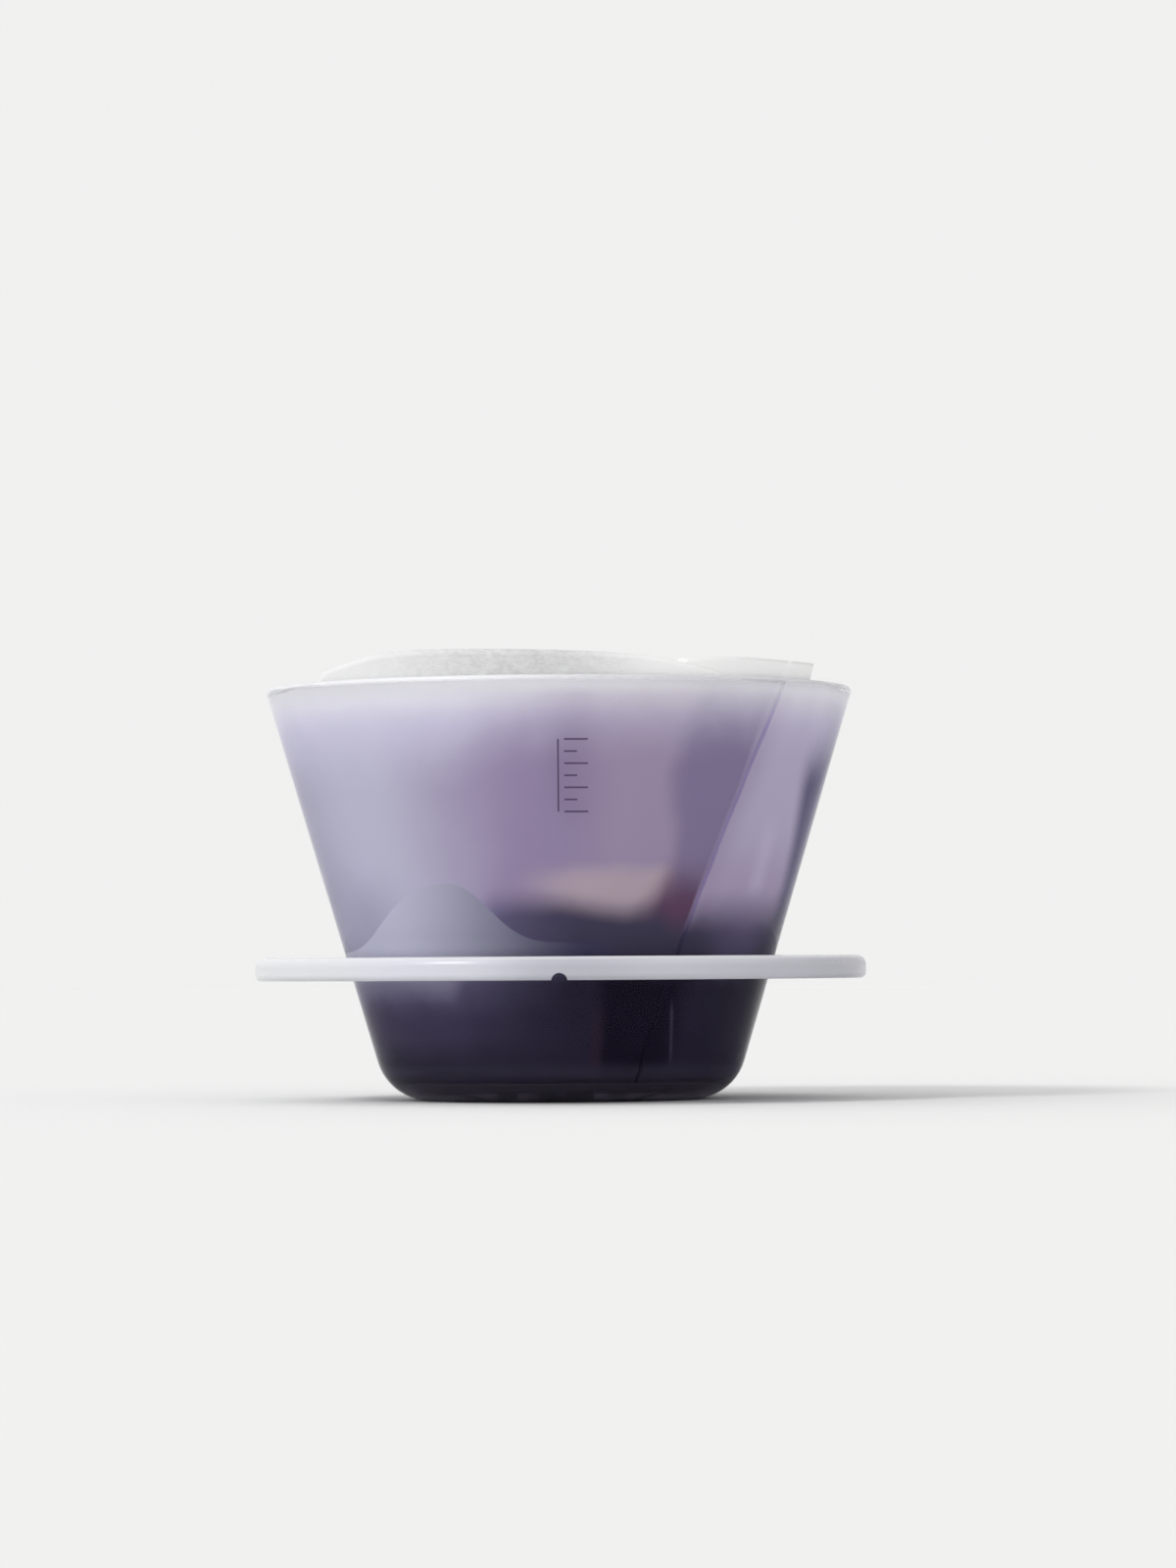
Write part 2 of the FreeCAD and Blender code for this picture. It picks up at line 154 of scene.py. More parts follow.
class Shader(Nodes):
    """A material's node tree."""

    def __init__(self, name):
        self.material = bpy.data.materials.new(name)
        self.material.use_nodes = True
        super().__init__(self.material.node_tree)
        self.surface = self.tree.nodes["Principled BSDF"]

    def place(self):
        """The object coordinates."""
        return self.node("ShaderNodeTexCoord").outputs["Object"]

    def parts(self, place):
        apart = self.node("ShaderNodeSeparateXYZ")
        self.feed(apart.inputs[0], place)
        return apart.outputs

    def angle_at(self, place):
        """Degrees from the front to the right, from -180 to 180."""
        parts = self.parts(place)
        turn = self.calculate("ARCTAN2", parts["X"], self.calculate("MULTIPLY", parts["Y"], -1.0))
        return self.calculate("MULTIPLY", turn, math.degrees(1.0))

    def height_at(self, place):
        """Millimetres over the base."""
        return self.calculate("MULTIPLY", self.parts(place)["Z"], 1 / MM)

    def noise(self, place, scale, detail, stretch=(1.0, 1.0, 1.0)):
        """Noise from nothing to one."""
        mapping = self.node("ShaderNodeMapping")
        self.feed(mapping.inputs["Vector"], place)
        self.feed(mapping.inputs["Scale"], stretch)
        made = self.node("ShaderNodeTexNoise")
        self.feed(made.inputs["Vector"], mapping.outputs[0])
        self.feed(made.inputs["Scale"], scale)
        self.feed(made.inputs["Detail"], detail)
        return made.outputs["Fac"]

    def drift(self, place, scale, detail):
        """Noise from minus a half to a half."""
        return self.calculate("SUBTRACT", self.noise(place, scale, detail), 0.5)

    def bump(self, relief, distance, strength):
        made = self.node("ShaderNodeBump")
        self.feed(made.inputs["Strength"], strength)
        self.feed(made.inputs["Distance"], distance)
        self.feed(made.inputs["Height"], relief)
        self.feed(self.surface.inputs["Normal"], made.outputs[0])

    def finish(self, **values):
        """Set the surface's own sockets."""
        for name, value in values.items():
            self.feed(self.surface.inputs[name.replace("_", " ")], value)


def dress(obj, *shaders):
    obj.data.materials.clear()
    for shader in shaders:
        obj.data.materials.append(shader.material)


def add_mesh(name, vertices, faces, smooth=True):
    mesh = bpy.data.meshes.new(name)
    mesh.from_pydata(vertices, [], faces)
    mesh.validate()
    mesh.polygons.foreach_set("use_smooth", [smooth] * len(mesh.polygons))
    mesh.update()
    obj = bpy.data.objects.new(name, mesh)
    bpy.context.scene.collection.objects.link(obj)
    return obj


def ring_faces(start, rings, columns, flip=False):
    """Quads between the closed rings of vertices that follow a start, one ring after the other."""
    faces = []
    for ring in range(rings):
        for column in range(columns):
            a = start + ring * columns + column
            b = start + ring * columns + (column + 1) % columns
            quad = (a, a + columns, b + columns, b) if flip else (a, b, b + columns, a + columns)
            faces.append(quad)
    return faces


# Materials. Angles are in degrees from the front to the right, and heights in millimetres over the
# base. A pair of them says where a change starts and where it ends, and a pair of shares says how
# strong it is there. A bell is a middle and its reach to either side. A noise is its scale, its
# detail and, where it has one, its stretch.

# Cone: milky lilac plastic, whiter and cloudier at the rim, dark and a little cloudy at the foot. The
# top of the rim is grey, with a painted highlight on it at the front left.
CONE_LILAC = (0.732, 0.705, 0.901)
CONE_WHITE = (0.965, 0.965, 0.998)
CONE_WHITE_HEIGHTS = (69.0, 79.0)
CREST_GREY = (0.77, 0.77, 0.80)
# Painted highlight on the top of the rim
CREST_HIGHLIGHT = (0.88, 0.88, 0.90)
CREST_HIGHLIGHT_BELL = (-22.0, 44.0)
CREST_HEIGHTS = (77.8, 78.4)
CREST_CLOUD_HEIGHTS = (77.8, 78.6)
CREST_CLEARNESS = (1.0, 0.35)
CONE_FOOT = (0.12, 0.104, 0.156)
CONE_FOOT_HEIGHTS = (4.2, 3.6)
CONE_FOOT_CLOUD_HEIGHTS = (4.0, 3.4)
CONE_FOOT_CLEARNESS = (1.0, 0.70)


def cone_plastic():
    shader = Shader("lilac_plastic")
    place = shader.place()
    angle = shader.angle_at(place)
    height = shader.height_at(place)
    # The top of the rim is grey, paler at the front left in a painted highlight
    crest = shader.lay(CREST_GREY, CREST_HIGHLIGHT, shader.bell(angle, CREST_HIGHLIGHT_BELL))
    tints = [(CONE_WHITE_HEIGHTS, CONE_WHITE), (CREST_HEIGHTS, crest), (CONE_FOOT_HEIGHTS, CONE_FOOT)]
    tint = shader.gradient(height, CONE_LILAC, tints)
    clear = shader.product(shader.step(height, CREST_CLOUD_HEIGHTS, CREST_CLEARNESS),
                           shader.step(height, CONE_FOOT_CLOUD_HEIGHTS, CONE_FOOT_CLEARNESS))
    shader.finish(Base_Color=tint, Roughness=0.10, IOR=1.07, Transmission_Weight=clear,
                  Coat_Weight=0.05, Coat_Roughness=0.08, Coat_IOR=1.5)
    return shader


# Ring: painted light and shade, with what stands behind it painted in as seen through it: light on
# the left, where the light falls and pale paper shows through, dark in the middle, where coffee shows
# through, lighter again just to its right, and dark towards the right side, which lies in shade. The
# last tone is the first again, so that the two meet at the back.
RING_PALE = (0.805, 0.815, 0.835)
RING_LIGHT_AND_SHADE = [
    ((-52.0, -32.0), (0.81, 0.81, 0.88)),
    ((-18.0, -1.0), (0.65, 0.65, 0.72)),
    ((2.0, 24.0), (0.77, 0.77, 0.84)),
    ((40.0, 75.0), (0.64, 0.64, 0.71)),
    ((100.0, 150.0), RING_PALE),
]
# A painted highlight along the ring's upper rounding, all round it
RING_EDGE_HIGHLIGHT = (0.95, 0.95, 0.97)
RING_HIGHLIGHT_HEIGHTS = (RING_TOP / MM - 0.7, RING_TOP / MM - 0.3)
RING_HIGHLIGHT_SHARES = (0.0, 0.75)


def ring_plastic():
    shader = Shader("pale_ring_plastic")
    place = shader.place()
    # Painted light and shade round the ring, with the paper and coffee behind it painted in
    tone = shader.gradient(shader.angle_at(place), RING_PALE, RING_LIGHT_AND_SHADE)
    # Painted highlight along the upper rounding
    edge = shader.step(shader.height_at(place), RING_HIGHLIGHT_HEIGHTS, RING_HIGHLIGHT_SHARES)
    tone = shader.lay(tone, RING_EDGE_HIGHLIGHT, edge)
    shader.finish(Base_Color=tone, Roughness=0.2, IOR=1.4, Transmission_Weight=0.35)
    return shader


# Tones of the paper's outside, as the wet paper shows through the wall, with painted light and shade
# among them
DRY_WHITE = (0.945, 0.945, 0.95)
BARE_DARK = (0.50, 0.50, 0.51)
BARE_GREY = (0.60, 0.60, 0.60)
BARE_PALE = (0.67, 0.67, 0.67)
BARE_SIDE = (0.73, 0.73, 0.73)
# Painted light for the bare flap, as if lit from behind
BARE_BACKLIGHT = (0.97, 0.97, 0.965)
PALE = (0.69, 0.70, 0.70)
MAUVE = (0.427, 0.355, 0.452)
ROSE = (0.484, 0.407, 0.474)
PEACH = (0.648, 0.537, 0.50)
PLUM = (0.320, 0.272, 0.362)
WINE = (0.17, 0.09, 0.14)
WEDGE = (0.632, 0.590, 0.645)
BLUSH = (0.57, 0.49, 0.565)
DUSK = (0.47, 0.40, 0.47)
GLEAM = (0.72, 0.65, 0.72)
STREAK = (0.11, 0.10, 0.19)
# Painted shade of the sides
SIDE_SHADE = (0.20, 0.19, 0.27)
SLATE = (0.156, 0.138, 0.197)
BAND = (0.085, 0.078, 0.11)
NIGHT = (0.036, 0.030, 0.050)
BLACK = (0.016, 0.012, 0.024)
# Painted glow at the top of the soaked bowl
BOWL_GLOW = (0.27, 0.25, 0.35)
BOWL_VIOLET = (0.088, 0.074, 0.118)
BOWL_DARK = (0.045, 0.040, 0.060)
SEAM = (0.062, 0.036, 0.052)
CREASE = (0.12, 0.11, 0.15)
FOOT = (0.085, 0.077, 0.105)
HILL_PALE = (0.71, 0.735, 0.72)
HILL_DARK = (0.075, 0.072, 0.118)

# The noises that make the edges of the tones uneven, by degrees and by millimetres, and those of
# the paper's fibres and flecks
DRIFT_NOISE = (45.0, 2.0)
DRIFT_ANGLE = 12.0
CLOUD_NOISE = (110.0, 3.0)
CLOUD_HEIGHT = 4.0
FIBRE_NOISE = (1000.0, 3.0, (1.0, 1.0, 2.6))
FLECK_NOISE = (420.0, 4.0, (1.0, 1.0, 1.7))


class WetPaper(Shader):
    """The paper's outside, with the fields that place its tones.

    The angle and the height are exact, about and above are the same two made uneven, and aside is
    the angle from the front to either side.
    """

    def __init__(self):
        super().__init__("paper_outside")
        place = self.place()
        self.angle = self.angle_at(place)
        self.height = self.height_at(place)
        self.aside = self.calculate("ABSOLUTE", self.angle)
        drift = self.drift(place, *DRIFT_NOISE)
        self.cloud = self.drift(place, *CLOUD_NOISE)
        self.about = self.calculate("MULTIPLY_ADD", drift, DRIFT_ANGLE, self.angle)
        self.above = self.calculate("MULTIPLY_ADD", self.cloud, CLOUD_HEIGHT, self.height)
        self.fibre = self.noise(place, *FIBRE_NOISE)
        self.fleck = self.noise(place, *FLECK_NOISE)


# Front: pale on the left, mauve in the middle, rosy to its right, with a warm patch low in the middle
FRONT_TONES = [((-46.0, -8.0), MAUVE), ((0.0, 16.0), ROSE)]
PATCH_ANGLES = (-14.0, 9.0)
PATCH_HEIGHTS = (45.5, 41.0)


def front_tone(paper):
    tone = paper.gradient(paper.about, PALE, FRONT_TONES)
    return paper.lay(tone, PEACH, paper.step(paper.about, PATCH_ANGLES),
                     paper.step(paper.above, PATCH_HEIGHTS))


# The doubled stretch: plum and, low down, wine up to the sheet's slanting outer end, and a paler
# wedge beyond it. The end itself is blurred, and more so higher up.
PLUM_ANGLES = (23.5, 31.0)
WINE_ANGLES = (18.0, 25.0)
WINE_HEIGHTS = (47.5, 36.0)
WINE_SHIFT_HEIGHTS = (34.0, 46.0)
WINE_SHIFTS = (0.0, 3.5)
BLUSH_HEIGHTS = (54.0, 40.0)
DUSK_ANGLES = (SHEET_FOOT_ANGLE + 9.0, SHEET_FOOT_ANGLE)
DUSK_SHARES = (0.0, 0.6)
GLEAM_BELL = (59.0, 6.0)
GLEAM_TOP = (56.0, 48.0)
GLEAM_FOOT = (37.0, 41.0)
GLEAM_SHARE = 0.7
BLUR_HEIGHTS = (56.0, 74.0)
BLUR_STARTS = (SHEET_FOOT_ANGLE - 1.0, SHEET_FOOT_ANGLE - 3.2)
BLUR_ENDS = (SHEET_FOOT_ANGLE + 0.5, SHEET_FOOT_ANGLE + 1.0)


def doubled_tone(paper, tone):
    tone = paper.lay(tone, PLUM, paper.step(paper.about, PLUM_ANGLES))
    shift = paper.step(paper.height, WINE_SHIFT_HEIGHTS, WINE_SHIFTS)
    shifted = paper.calculate("SUBTRACT", paper.about, shift)
    tone = paper.lay(tone, WINE, paper.step(shifted, WINE_ANGLES),
                     paper.step(paper.above, WINE_HEIGHTS))

    along_end = paper.calculate("MULTIPLY_ADD", paper.height, -SHEET_LEAN, paper.angle)
    wedge = paper.lay(WEDGE, BLUSH, paper.step(paper.above, BLUSH_HEIGHTS))
    wedge = paper.lay(wedge, DUSK, paper.step(along_end, DUSK_ANGLES, DUSK_SHARES))
    wedge = paper.lay(wedge, GLEAM, paper.bell(paper.angle, GLEAM_BELL),
                      paper.step(paper.above, GLEAM_TOP), paper.step(paper.above, GLEAM_FOOT),
                      GLEAM_SHARE)
    blur = (paper.step(paper.height, BLUR_HEIGHTS, BLUR_STARTS),
            paper.step(paper.height, BLUR_HEIGHTS, BLUR_ENDS))
    return paper.lay(tone, wedge, paper.step(along_end, blur))


# Sides: painted shade where the sheet turns away from the light, on the left, beside the hill and on
# the right, with a soft dark streak down the right one, and pale again towards the back
LEFT_SHADE_ANGLES = (-52.0, -96.0)
LEFT_SHADE_HEIGHTS = (56.0, 34.0)
LEFT_SHADE_SHARES = (0.42, 0.6)
HILL_SHADE_BELL = (-58.0, 24.0)
HILL_SHADE_HEIGHTS = (46.0, 34.0)
HILL_SHADE_SHARE = 0.3
RIGHT_SHADE_ANGLES = (68.0, 92.0)
RIGHT_SHADE_SHARE = 0.75
STREAK_EDGE_HEIGHTS = (66.0, 40.0)
STREAK_EDGE_ANGLES = (64.0, 72.0)
STREAK_BLUR = (0.0, 10.0)
STREAK_TOP = (71.0, 59.0)
STREAK_FADE_ANGLES = (83.0, 95.0)
STREAK_FADE_HEIGHTS = (52.0, 43.0)
STREAK_SHARE = 0.95
STREAK_FADED_SHARE = 0.4
BACK_ANGLES = (98.0, 130.0)


def side_shade_tone(paper, tone):
    # Painted shade on the left side, lower down
    tone = paper.lay(tone, SIDE_SHADE, paper.step(paper.angle, LEFT_SHADE_ANGLES),
                     paper.step(paper.above, LEFT_SHADE_HEIGHTS, LEFT_SHADE_SHARES))
    # Painted shade beside the hill
    tone = paper.lay(tone, SIDE_SHADE, paper.bell(paper.about, HILL_SHADE_BELL),
                     paper.step(paper.above, HILL_SHADE_HEIGHTS), HILL_SHADE_SHARE)
    # Painted shade on the right side
    tone = paper.lay(tone, SIDE_SHADE, paper.step(paper.angle, RIGHT_SHADE_ANGLES), RIGHT_SHADE_SHARE)
    edge = paper.step(paper.height, STREAK_EDGE_HEIGHTS, STREAK_EDGE_ANGLES)
    past_edge = paper.calculate("SUBTRACT", paper.angle, edge)
    faded = paper.step(paper.height, STREAK_FADE_HEIGHTS, (STREAK_FADED_SHARE, STREAK_SHARE))
    share = paper.step(paper.angle, STREAK_FADE_ANGLES, (STREAK_SHARE, faded))
    tone = paper.lay(tone, STREAK, paper.step(past_edge, STREAK_BLUR), share,
                     paper.step(paper.above, STREAK_TOP))
    return paper.lay(tone, PALE, paper.step(paper.aside, BACK_ANGLES))


# Drier and whiter towards the rim: from lower down on the left and round the crest of the edge
DRY_HEIGHTS = (63.0, 85.0)
DRY_LEFT_ANGLES = (-50.0, -14.0)
DRY_LEFT_LIFTS = (5.5, 0.0)
DRY_CREST_BELL = (-22.0, 29.0)
DRY_CREST_LIFT = 4.8
DRY_BACK_ANGLES = (170.0, 100.0)
RIM_HEIGHTS = (75.0, 78.5)
RIM_ANGLES = (40.0, 4.0)
RIM_SHARES = (0.5, 1.0)


def dry_tone(paper, tone):
    lift = paper.step(paper.angle, DRY_LEFT_ANGLES, DRY_LEFT_LIFTS)
    crest = paper.bell(paper.angle, DRY_CREST_BELL)
    lift = paper.calculate("MULTIPLY_ADD", crest, DRY_CREST_LIFT, lift)
    lift = paper.product(lift, paper.step(paper.aside, DRY_BACK_ANGLES))
    lifted = paper.calculate("ADD", paper.above, lift)
    tone = paper.lay(tone, DRY_WHITE, paper.step(lifted, DRY_HEIGHTS))
    return paper.lay(tone, DRY_WHITE, paper.step(paper.height, RIM_HEIGHTS),
                     paper.step(paper.angle, RIM_ANGLES, RIM_SHARES))


# Bare over the rim: grey with fibres and flecks, even and paler on the left, and lightest on the
# right, where the flap is painted as if lit from behind
BARE_HEIGHTS = (78.6, 79.2)
FIBRE_SPAN = (0.35, 0.65)
PALE_FLECK_SPAN = (0.52, 0.66)
PALE_FLECK_SHARE = 0.5
DARK_FLECK_SPAN = (0.46, 0.34)
DARK_FLECK_SHARE = 0.35
BARE_LEFT_ANGLES = (-12.0, -44.0)
BARE_LEFT_SHARES = (0.0, 0.85)
BARE_BACKLIGHT_ANGLES = (-4.0, 25.0)


def bare_tone(paper, tone):
    bare = paper.lay(BARE_GREY, BARE_PALE, paper.step(paper.fibre, FIBRE_SPAN))
    bare = paper.lay(bare, BARE_SIDE, paper.step(paper.fleck, PALE_FLECK_SPAN), PALE_FLECK_SHARE)
    bare = paper.lay(bare, BARE_DARK, paper.step(paper.fleck, DARK_FLECK_SPAN), DARK_FLECK_SHARE)
    bare = paper.lay(bare, BARE_SIDE, paper.step(paper.angle, BARE_LEFT_ANGLES, BARE_LEFT_SHARES))
    # Painted light: the bare paper on the right, with the flap, is painted as if lit from behind
    bare = paper.lay(bare, BARE_BACKLIGHT, paper.step(paper.angle, BARE_BACKLIGHT_ANGLES))
    return paper.lay(tone, bare, paper.step(paper.height, BARE_HEIGHTS))


# Soaked with coffee up to the level of the bed. The level is low on the left and high elsewhere,
# with a slight fall and a dip to the right of the middle. Its edge is blurred to either side.
LEVEL_ANGLES = (-34.0, -15.0)
LEVEL_HEIGHTS = (23.0, 37.6)
FALL_ANGLES = (-4.0, 19.0)
FALL_HEIGHTS = (0.0, -1.7)
DIP_BELL = (33.0, 8.0)
DIP_DEPTH = 2.6
LEVEL_BACK_ANGLES = (95.0, 180.0)
LEVEL_BACK_HEIGHT = 28.0
EDGE_BLUR_ANGLES = (-26.0, -12.0)
EDGE_BLUR = (5.0, 3.2)
MORE_BLUR_ANGLES = (34.0, 42.0)
MORE_BLUR = (0.0, 2.2)
LEVEL_CLOUD_HEIGHT = 1.6

# Tones of the soaked paper: a bowl on the left, dark with coffee, with a painted glow that is lilac
# at its top and fades lower down, and a dark band over black to the right of it, with a seam, a
# slanting crease and a paler foot
BOWL_GLOW_FADE = [((26.0, 14.5), BOWL_VIOLET), ((14.0, 6.0), BOWL_DARK)]
BOWL_END_ANGLES = (-42.0, 8.0)
SLATE_LEFT_ANGLES = (38.0, 56.0)
SLATE_RIGHT_ANGLES = (78.0, 60.0)
BLACK_LEFT_ANGLES = (8.0, 15.5)
BLACK_RIGHT_ANGLES = (44.0, 31.0)
NIGHT_HEIGHTS = (29.0, 21.0)
DARK_BACK_ANGLES = (95.0, 165.0)
SEAM_BELL = (11.3, 3.4)
SEAM_HEIGHTS = (21.0, 12.0)
SEAM_SHARE = 0.5
CREASE_LEAN = 0.31
CREASE_BELL = (40.6, 1.1)
CREASE_TOP = (20.0, 16.0)
CREASE_FOOT = (5.5, 10.0)
CREASE_SHARE = 0.42
FOOT_HEIGHTS = (8.5, 4.5)
FOOT_SHARES = (0.0, 0.8)


def soaked_share(paper):
    level = paper.step(paper.angle, LEVEL_ANGLES, LEVEL_HEIGHTS)
    level = paper.calculate("ADD", level, paper.step(paper.angle, FALL_ANGLES, FALL_HEIGHTS))
    dip = paper.calculate("MULTIPLY", paper.bell(paper.angle, DIP_BELL), DIP_DEPTH)
    level = paper.calculate("SUBTRACT", level, dip)
    level = paper.step(paper.aside, LEVEL_BACK_ANGLES, (level, LEVEL_BACK_HEIGHT))
    blur = paper.step(paper.angle, EDGE_BLUR_ANGLES, EDGE_BLUR)
    blur = paper.calculate("ADD", blur, paper.step(paper.angle, MORE_BLUR_ANGLES, MORE_BLUR))
    uneven = paper.calculate("MULTIPLY_ADD", paper.cloud, LEVEL_CLOUD_HEIGHT, paper.height)
    depth = paper.calculate("SUBTRACT", level, uneven)
    return paper.step(depth, (paper.calculate("MULTIPLY", blur, -1.0), blur))


def soaked_tone(paper, tone):
    # Painted glow: the bowl is lilac near its top on the left, fading to dark lower down
    bowl_glow = paper.gradient(paper.above, BOWL_GLOW, BOWL_GLOW_FADE)
    band = paper.lay(BAND, SLATE, paper.step(paper.angle, SLATE_LEFT_ANGLES),
                     paper.step(paper.angle, SLATE_RIGHT_ANGLES))
    night = paper.lay(NIGHT, BLACK, paper.step(paper.angle, BLACK_LEFT_ANGLES),
                      paper.step(paper.angle, BLACK_RIGHT_ANGLES))
    band = paper.lay(band, night, paper.step(paper.above, NIGHT_HEIGHTS))
    dark = paper.lay(bowl_glow, band, paper.step(paper.angle, BOWL_END_ANGLES))
    dark = paper.lay(dark, BOWL_VIOLET, paper.step(paper.aside, DARK_BACK_ANGLES))
    dark = paper.lay(dark, SEAM, paper.bell(paper.angle, SEAM_BELL),
                     paper.step(paper.height, SEAM_HEIGHTS), SEAM_SHARE)
    along_crease = paper.calculate("MULTIPLY_ADD", paper.height, CREASE_LEAN, paper.angle)
    dark = paper.lay(dark, CREASE, paper.bell(along_crease, CREASE_BELL),
                     paper.step(paper.height, CREASE_TOP), paper.step(paper.height, CREASE_FOOT),
                     CREASE_SHARE)
    dark = paper.lay(dark, FOOT, paper.step(paper.height, FOOT_HEIGHTS, FOOT_SHARES))
    return paper.lay(tone, dark, soaked_share(paper))


# A pale, hill-shaped patch at the front left. Its top is a bell curve over a slightly slanting foot,
# with a wider flank on the left. Both changes are angles from its middle.
HILL_MIDDLE = -30.3
HILL_FLANKS = (26.4, 14.9)
HILL_FLANK_CHANGE = (-0.5, 0.5)
HILL_POWER = 2.44
HILL_HEIGHT = 11.4
HILL_FOOT_HEIGHTS = (28.8, 30.0)
HILL_FOOT_CHANGE = (-20.0, 10.0)
HILL_BLUR = (-0.2, 0.2)
HILL_UNDERSIDE = (22.0, 27.0)
HILL_LEFT_END = (-110.0, -80.0)
HILL_RIGHT_END = (20.0, 6.0)
HILL_TONE_ANGLES = (-52.0, 10.0)
# Painted light: the patch is lighter low down, just over the ring, against the ring's shade
HILL_GLOW_HEIGHTS = (32.0, 28.5)
HILL_GLOW = (1.0, 1.15)


def hill_tone(paper, tone):
    off = paper.calculate("SUBTRACT", paper.angle, HILL_MIDDLE)
    share = paper.calculate("DIVIDE", off, paper.step(off, HILL_FLANK_CHANGE, HILL_FLANKS))
    fall = paper.calculate("POWER", paper.calculate("ABSOLUTE", share), HILL_POWER)
    rise = paper.calculate("EXPONENT", paper.calculate("MULTIPLY", fall, -1.0))
    foot = paper.step(off, HILL_FOOT_CHANGE, HILL_FOOT_HEIGHTS)
    top = paper.calculate("MULTIPLY_ADD", rise, HILL_HEIGHT, foot)
    under_top = paper.calculate("SUBTRACT", top, paper.height)
    hill = paper.lay(HILL_PALE, HILL_DARK, paper.step(paper.angle, HILL_TONE_ANGLES))
    # Painted light low down, against the ring's shade
    hill = paper.mix(1.0, hill, paper.step(paper.height, HILL_GLOW_HEIGHTS, HILL_GLOW), "MULTIPLY")
    return paper.lay(tone, hill, paper.step(under_top, HILL_BLUR),
                     paper.step(paper.height, HILL_UNDERSIDE),
                     paper.step(paper.angle, HILL_LEFT_END), paper.step(paper.angle, HILL_RIGHT_END))


# The fibres stand out from the surface where the paper is dry
RELIEF_HEIGHTS = (60.0, 79.0)


def paper_outside():
    paper = WetPaper()
    tone = front_tone(paper)
    for lay_tone in (doubled_tone, side_shade_tone, dry_tone, bare_tone, soaked_tone, hill_tone):
        tone = lay_tone(paper, tone)
    paper.finish(Base_Color=tone, Roughness=0.8, Specular_IOR_Level=0.0)
    relief = paper.product(paper.fibre, paper.step(paper.height, RELIEF_HEIGHTS))
    paper.bump(relief, distance=0.1 * MM, strength=0.4)
    return paper


# The paper's inside: dry at the rim, tan and brown where coffee stood, dark beside the bed, with
# crumbs of coffee that grow fewer higher up
INSIDE_DRY = (0.87, 0.86, 0.83)
INSIDE_TONES = [
    ((72.0, 66.0), (0.70, 0.64, 0.54)),
    ((58.0, 44.0), (0.52, 0.38, 0.24)),
    ((40.0, 34.0), (0.16, 0.085, 0.045)),
]
TIDE_NOISE = (70.0, 4.0)
TIDE_HEIGHT = 14.0
CRUMB = (0.04, 0.02, 0.012)
CRUMB_NOISE = (1500.0, 2.0)
CRUMB_SPAN = (0.565, 0.585)
CRUMB_THINNING = 0.0022
INSIDE_GRAIN_NOISE = (900.0, 2.0)


def paper_inside():
    shader = Shader("paper_inside")
    place = shader.place()
    height = shader.height_at(place)
    tide = shader.calculate("MULTIPLY_ADD", shader.drift(place, *TIDE_NOISE), TIDE_HEIGHT, height)
    tone = shader.gradient(tide, INSIDE_DRY, INSIDE_TONES)
    crumbs = shader.noise(place, *CRUMB_NOISE)
    crumbs = shader.calculate("MULTIPLY_ADD", height, -CRUMB_THINNING, crumbs)
    tone = shader.lay(tone, CRUMB, shader.step(crumbs, CRUMB_SPAN))
    shader.finish(Base_Color=tone, Roughness=0.85)
    shader.bump(shader.noise(place, *INSIDE_GRAIN_NOISE), distance=0.15 * MM, strength=0.5)
    return shader


# Wet grounds: dark and brown grains, lighter and duller in patches
GROUNDS_DARK = (0.018, 0.009, 0.006)
GROUNDS_BROWN = (0.085, 0.042, 0.022)
GROUNDS_LIGHT = (0.12, 0.065, 0.035)
GROUNDS_GRAIN_NOISE = (1400.0, 3.0)
GROUNDS_PATCH_NOISE = (60.0, 3.0)
BROWN_SPAN = (0.35, 0.7)
LIGHT_SPAN = (0.5, 0.7)
DULL_SPAN = (0.4, 0.65)
GROUNDS_ROUGHNESS = (0.28, 0.6)


def wet_grounds():
    shader = Shader("wet_grounds")
    place = shader.place()
    grain = shader.noise(place, *GROUNDS_GRAIN_NOISE)
    patch = shader.noise(place, *GROUNDS_PATCH_NOISE)
    tone = shader.lay(GROUNDS_DARK, GROUNDS_BROWN, shader.step(grain, BROWN_SPAN))
    tone = shader.lay(tone, GROUNDS_LIGHT, shader.step(patch, LIGHT_SPAN))
    shader.finish(Base_Color=tone, Roughness=shader.step(patch, DULL_SPAN, GROUNDS_ROUGHNESS))
    shader.bump(grain, distance=0.5 * MM, strength=0.8)
    return shader


# Paper filter: one sheet rolled into a cone and turned in at the floor, its outer end cut slanting
# over its inner end. It is wet and clings to the cone, so its outside lies a hair within the wall.
PAPER_THICK = 0.22 * MM
OUTER_INSET = WALL - 0.04 * MM
INNER_INSET = WALL + 0.21 * MM
PAPER_FLOOR_Z = WALL + FLOOR_RIB + 0.1 * MM
TURN_START = math.acos((CORNER_RADIUS - PAPER_FLOOR_Z) / (CORNER_RADIUS - OUTER_INSET))
TURN_END = math.pi / 2 - math.atan(TAPER)
TURN_TOP_Z = CORNER_RADIUS * (1 - math.cos(TURN_END))
TURN_CENTRE_RADIUS = wall_radius(CORNER_RADIUS, CORNER_RADIUS)

# The sheet runs from its start, under its outer end, through a full turn. Past that end, between
# these two angles, its inner layer comes out to the wall.
FULL_TURN = 360.0
SHEET_START = 24.0
STEP_ANGLES = (0.2, 1.6)

# The flap at the sheet's inner end: where it ends, over which angle it is cut, how far its end
# leans to the right, over which angles from the end the lean dies away, and where it grows in
# shares of the way up from the shoulder to the edge
FLAP_END = 59.7
FLAP_CUT = 0.3
FLAP_LEAN = 0.8
FLAP_LEAN_REACH = (2.0, 7.0)
FLAP_LEAN_RISE = (0.5, 1.0)

